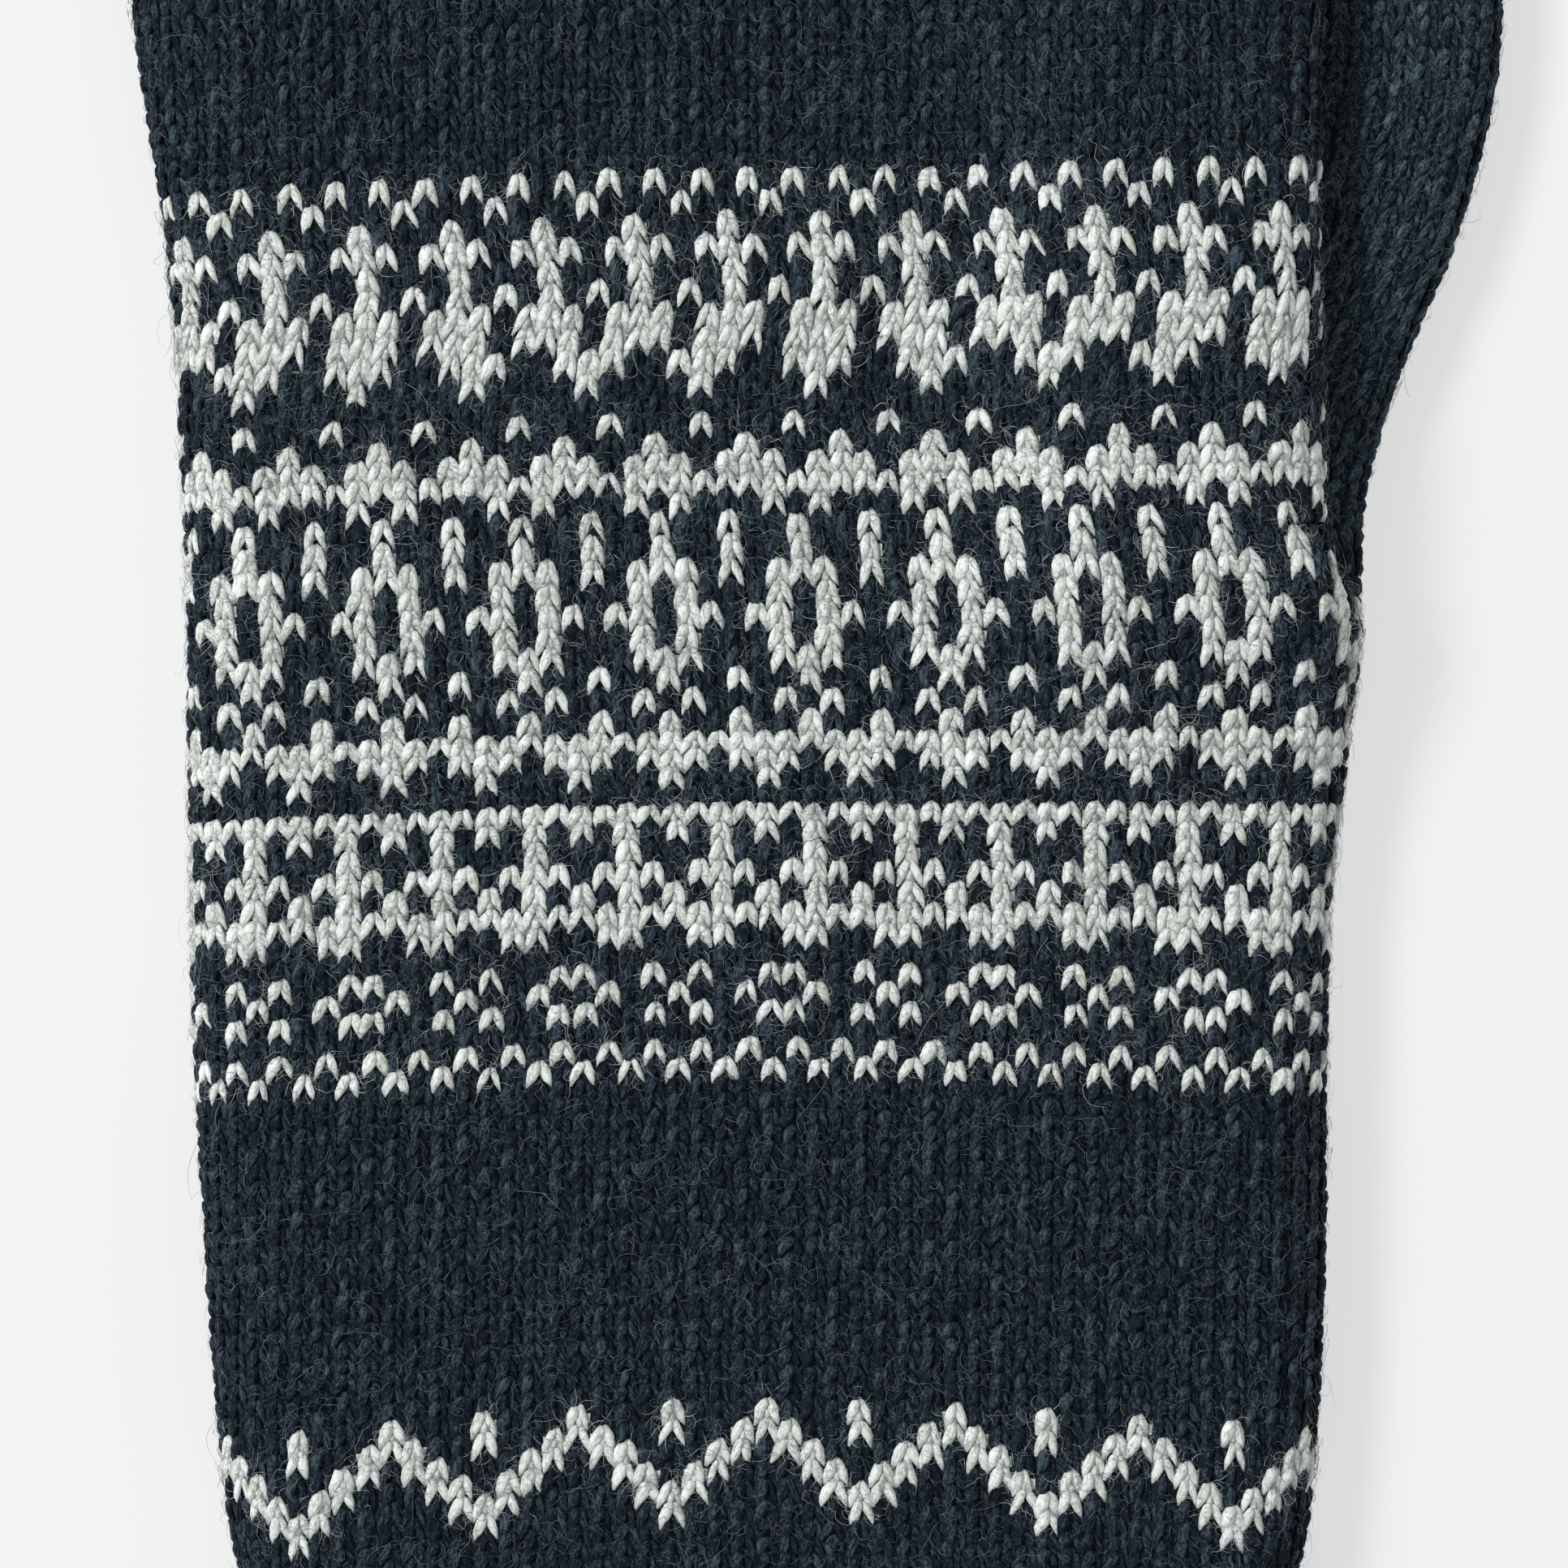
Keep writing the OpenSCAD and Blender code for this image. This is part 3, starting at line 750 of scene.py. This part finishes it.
def wool_material(name, dark, middle, light, glow=0.0, roughness=(0.7, 0.95), specular=0.08):
    """Wool yarn: fibres along each length of yarn, matted across it, and each length with its own tone.
    The mesh gives the place round a length of yarn, along it, and its number, as "fibre"."""
    material = bpy.data.materials.new(name)
    material.use_nodes = True
    nodes, links = material.node_tree.nodes, material.node_tree.links
    shader = nodes["Principled BSDF"]
    fibre = nodes.new("ShaderNodeAttribute")
    fibre.attribute_name = "fibre"
    split = nodes.new("ShaderNodeSeparateXYZ")
    links.new(fibre.outputs["Vector"], split.inputs[0])

    def noise(scale, detail):
        stretch = nodes.new("ShaderNodeVectorMath")
        stretch.operation = "MULTIPLY"
        stretch.inputs[1].default_value = scale
        links.new(fibre.outputs["Vector"], stretch.inputs[0])
        texture = nodes.new("ShaderNodeTexNoise")
        texture.inputs["Scale"].default_value = 1.0
        texture.inputs["Detail"].default_value = detail
        texture.inputs["Roughness"].default_value = 0.62
        links.new(stretch.outputs[0], texture.inputs["Vector"])
        return texture.outputs["Fac"]

    def math_node(operation, *inputs, clamp=False):
        node = nodes.new("ShaderNodeMath")
        node.operation, node.use_clamp = operation, clamp
        for socket, value in zip(node.inputs, inputs):
            if isinstance(value, float):
                socket.default_value = value
            else:
                links.new(value, socket)
        return node.outputs[0]
    strands, felt = noise(STRANDS, 3), noise(FELT, 2)
    mixed = math_node("ADD", math_node("MULTIPLY", strands, 0.55), math_node("MULTIPLY", felt, 0.45))
    tone = math_node("MULTIPLY_ADD", math_node("FRACT", split.outputs[2]), 0.10, -0.05)
    total = math_node("ADD", mixed, tone, clamp=True)
    ramp = nodes.new("ShaderNodeValToRGB")
    first, last = ramp.color_ramp.elements
    first.position, first.color = TONES[0], (*dark, 1)
    last.position, last.color = TONES[2], (*light, 1)
    ramp.color_ramp.elements.new(TONES[1]).color = (*middle, 1)
    links.new(total, ramp.inputs[0])
    links.new(ramp.outputs[0], shader.inputs["Base Color"])
    rough = nodes.new("ShaderNodeMapRange")
    rough.inputs["From Min"].default_value, rough.inputs["From Max"].default_value = 0.3, 0.7
    rough.inputs["To Min"].default_value, rough.inputs["To Max"].default_value = roughness
    links.new(felt, rough.inputs["Value"])
    links.new(rough.outputs[0], shader.inputs["Roughness"])
    bump = nodes.new("ShaderNodeBump")
    bump.inputs["Strength"].default_value = 1.0
    bump.inputs["Distance"].default_value = BUMP * MM
    links.new(mixed, bump.inputs["Height"])
    links.new(bump.outputs[0], shader.inputs["Normal"])
    shader.inputs["Specular IOR Level"].default_value = specular
    if glow:
        shader.inputs["Subsurface Weight"].default_value = glow
        shader.inputs["Subsurface Radius"].default_value = (1, 0.92, 0.78)
        shader.inputs["Subsurface Scale"].default_value = 0.6 * MM
    return material


NAVY_WOOL = wool_material("navy_wool",
                          (0.0019, 0.0038, 0.0065), (0.0107, 0.0186, 0.0266), (0.056, 0.079, 0.100))
CREAM_WOOL = wool_material("cream_wool",
                           (0.475, 0.48, 0.42), (0.715, 0.755, 0.71), (0.80, 0.845, 0.815), glow=0.4)
DOWN_WOOL = wool_material("cream_fibres",
                          (0.66, 0.70, 0.71), (0.80, 0.85, 0.86), (0.90, 0.94, 0.95))
STRAY_WOOL = wool_material("stray_fibres",
                           (0.12, 0.17, 0.21), (0.30, 0.39, 0.455), (0.56, 0.66, 0.73),
                           roughness=(0.35, 0.6), specular=0.5)
# Painted light: the thumb's wool is the navy made lighter, to brighten the thumb where the edge of the hand
# shades it.
THUMB_LIT_NAVY_WOOL = wool_material("thumb_lit_navy_wool",
                           (0.0034, 0.0067, 0.0104), (0.0192, 0.0334, 0.0445), (0.087, 0.125, 0.151))
WOOLS = [NAVY_WOOL, CREAM_WOOL, STRAY_WOOL, DOWN_WOOL]
THUMB_LIT_WOOLS = [THUMB_LIT_NAVY_WOOL, CREAM_WOOL, STRAY_WOOL, DOWN_WOOL]


# ---------------------------------------------------------------- pieces

def front_pitch(y):
    """Width of the stitches on the back of the hand, left and right of the middle."""
    left = along(FRONT_PITCH, y)
    return left, left + along(RIGHT_WIDER, y)


def drift(y):
    """Where the stitches that start at x = 0 lie."""
    return along(DRIFT, y)


def ribbing(u, v):
    """Two wales knit, two wales purl, from the top of the cuff down."""
    off = np.abs((u - WALE_SHIFT - 0.5 + 2) % 4 - 2)
    return smooth((Y_BEND_HAND + 1 - v) / 4) * mix(RIB_RISE, -RIB_SINK, smooth((off - 0.5) / 1.0))


HAND_WALES = 104          # stitches round the hand and the wrist
HAND_TUBE = Tube(hand_ring, Y_END, 1.0, wales=HAND_WALES, anchor=drift, warp=hang, front=front_pitch,
                 relief=ribbing)
PALM_WALES = int(round(Tube.measure(palm_ring(0))[-1] / front_pitch(0)[0]))
PALM_TUBE = Tube(palm_ring, -3.0, Y_KNUCKLE + 1, wales=PALM_WALES, anchor=drift, warp=hang,
                 front=front_pitch)
KNUCKLE_TUBE = Tube(knuckle_ring, Y_KNUCKLE - 2, Y_FINGERS + 0.5, anchor=drift)


def between(low, high):
    """The courses of the hand that start between low and high."""
    return [c for c in COURSES if low < c[0] <= high]


def thumb_lobe(u, v):
    """The right edge by the thumb crotch, where the pattern stops."""
    x = HAND_TUBE.place(u, v, np.zeros(u.shape))[..., 0] / MM - ORIGIN[0]
    return (x > LOBE_X) & (v > LOBE_Y)


def hand_pieces():
    """The back of the hand, the wrist, the palm and the knuckles, each as its knit and its loose fibres."""
    rng = np.random.default_rng(11)
    for name, tube, low, high in (("hand_tube", HAND_TUBE, Y_WRIST, 0.5),
                                  ("wrist_tube", HAND_TUBE, CUFF_TOP, Y_WRIST),
                                  ("palm_tube", PALM_TUBE, 0.5, Y_KNUCKLE),
                                  ("knuckle_tube", KNUCKLE_TUBE, Y_KNUCKLE, Y_FINGERS)):
        navy_where = thumb_lobe if name == "hand_tube" else None
        knit = knit_piece(tube, between(low, high), rng, fine=True, navy_where=navy_where)
        fuzz = Fabric()
        add_fuzz(fuzz, tube, low, high, rng, HAND_FUZZ, colour_at, room=(0, 1))
        for obj in (make_object(name + "_knit", knit, WOOLS), make_object(name + "_fuzz", fuzz, WOOLS)):
            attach(obj, "hand")
            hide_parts(name)


def base_and_tip(low, high, bend):
    """The courses of a finger or thumb below and above its bend, and whether they close the tube."""
    courses = [(high - PLAIN * k, PLAIN, ".") for k in range(int((high - low) / PLAIN))]
    return (("base", [c for c in courses if c[0] <= bend - BEND_REACH], False),
            ("tip", [c for c in courses if c[0] > bend - BEND_REACH], True))


def row_point(x, y, z=0.0):
    """A point in the row's frame, in metres."""
    return tuple((np.array([x, y, z]) + ORIGIN) * MM)


def finger_pieces():
    rng = np.random.default_rng(23)
    for i, finger in enumerate(FINGERS):
        ring_at, v_high = finger_ring(i)
        tube = Tube(ring_at, -3.0, v_high)
        bend = y_range(finger + "_tip")[0] - CROTCH[i]
        for part, rows, closed in base_and_tip(-2.5, v_high, bend):
            knit = knit_piece(tube, rows, rng, closed=closed)
            add_fuzz(knit, tube, rows[-1][0], rows[0][0], rng, FINGER_FUZZ)
            obj = make_object(f"{finger}_{part}_knit", knit, WOOLS)
            if part == "base":
                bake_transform(obj)
            else:
                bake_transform(obj)
            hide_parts(f"{finger}_{part}")


def thumb_pieces():
    rng = np.random.default_rng(37)
    v_high = skin_length(THUMB_LEN, THUMB_ROUND)
    tube = Tube(thumb_ring, -6.0, v_high)
    for part, rows, closed in base_and_tip(-5.0, v_high, THUMB_BEND):
        knit = knit_piece(tube, rows, rng, fine=True, closed=closed)
        add_fuzz(knit, tube, max(rows[-1][0], 0), rows[0][0], rng, THUMB_FUZZ)
        # The thumb takes the lighter navy, painted light against the shade from the hand's edge.
        obj = make_object(f"thumb_{part}_knit", knit, THUMB_LIT_WOOLS)
        if part == "base":
            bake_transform(obj)
        else:
            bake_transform(obj)
        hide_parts(f"thumb_{part}")


def mirrored_chain():
    """The lower half of a bound-off loop."""
    path = CHAIN.copy()
    path[:, 1] = CHAIN_FOLD - path[:, 1]
    return path


def cuff_pieces():
    """The rib, and the bound-off edge that rides on the cuff."""
    rng = np.random.default_rng(41)
    rib = knit_piece(HAND_TUBE, between(Y_RIM, CUFF_TOP), rng, purl=True)
    add_fuzz(rib, HAND_TUBE, Y_RIM, CUFF_TOP, rng, FINGER_FUZZ)
    rib = make_object("cuff_rib_knit", rib, WOOLS)
    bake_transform(rib)
    rim = Fabric()
    u = np.arange(HAND_TUBE.wales) + WALE_SHIFT
    v, pitch = np.full(u.shape, Y_END + RIM_LOOP), np.full(u.shape, COLOUR)
    shell(rim, HAND_TUBE, np.linspace(Y_END, Y_RIM, 4), inner_step=1)
    for path, bottom in ((CHAIN, 0.3), (mirrored_chain(), 0.0)):
        cell = np.arange(len(u)) / len(u), np.full(u.shape, bottom), 1 / len(u), 0.28
        add_row(rim, HAND_TUBE, u, v, pitch, NAVY, rng, path, cell)
    add_fuzz(rim, HAND_TUBE, Y_END + 0.2, Y_RIM, rng, FINGER_FUZZ)
    rim = make_object("cuff_rim_knit", rim, WOOLS)
    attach(rim, "cuff")
    for obj, node in ((rib, "cuff_rib"), (rim, "cuff_rim")):
        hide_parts(node)


# ---------------------------------------------------------------- studio

VIEW_WIDTH = 122.4        # width of the picture on the fabric
VIEW_CENTRE = (1.8, -20.0)
FLOOR_SIZE, FLOOR_GAP = 3.0, 0.0002      # half its width, and how far it is under the glove, in metres
KEY_PLACE, KEY_SIZE, KEY_POWER = (-0.84, 0.36, 1.08), 0.42, 17.6
SKY = (0.97, 0.98, 1.0)
SKY_STRENGTH = 0.57


def floor():
    """A pale lit floor, so that shadows on it are faint."""
    material = bpy.data.materials.new("paper_floor")
    material.use_nodes = True
    shader = material.node_tree.nodes["Principled BSDF"]
    shader.inputs["Base Color"].default_value = (0.22, 0.22, 0.221, 1)
    shader.inputs["Emission Color"].default_value = (0.995, 0.995, 1.0, 1)
    shader.inputs["Emission Strength"].default_value = 0.622
    shader.inputs["Roughness"].default_value = 0.9
    mesh = bpy.data.meshes.new("floor")
    size = FLOOR_SIZE
    mesh.from_pydata([(-size, -size, 0), (size, -size, 0), (size, size, 0), (-size, size, 0)], [],
                     [(0, 1, 2, 3)])
    mesh.materials.append(material)
    obj = bpy.data.objects.new("floor", mesh)
    obj.location = (0, 0, -FLOOR_GAP)
    bpy.context.scene.collection.objects.link(obj)


def key_light():
    """One soft lamp at the upper left, which points at the glove."""
    data = bpy.data.lights.new("key", "AREA")
    data.shape, data.size, data.energy = "DISK", KEY_SIZE, KEY_POWER
    obj = bpy.data.objects.new("key", data)
    obj.location = KEY_PLACE
    obj.rotation_mode = "QUATERNION"
    obj.rotation_quaternion = (-Vector(KEY_PLACE)).to_track_quat("-Z", "Y")
    bpy.context.scene.collection.objects.link(obj)


def studio():
    floor()
    key_light()
    world = bpy.data.worlds.new("studio")
    world.use_nodes = True
    background = world.node_tree.nodes["Background"]
    background.inputs["Color"].default_value = (*SKY, 1)
    background.inputs["Strength"].default_value = SKY_STRENGTH
    bpy.context.scene.world = world
    bpy.context.scene.view_settings.view_transform = "Standard"
    camera = bpy.data.cameras.new("camera")
    camera.lens, camera.sensor_width = 180, 36
    obj = bpy.data.objects.new("camera", camera)
    distance = VIEW_WIDTH * camera.lens / camera.sensor_width
    obj.location = row_point(*VIEW_CENTRE, HAND_H + distance)
    camera.clip_start, camera.clip_end = 0.01, 10
    bpy.context.scene.collection.objects.link(obj)
    bpy.context.scene.camera = obj


hand_pieces()
finger_pieces()
thumb_pieces()
cuff_pieces()
studio()
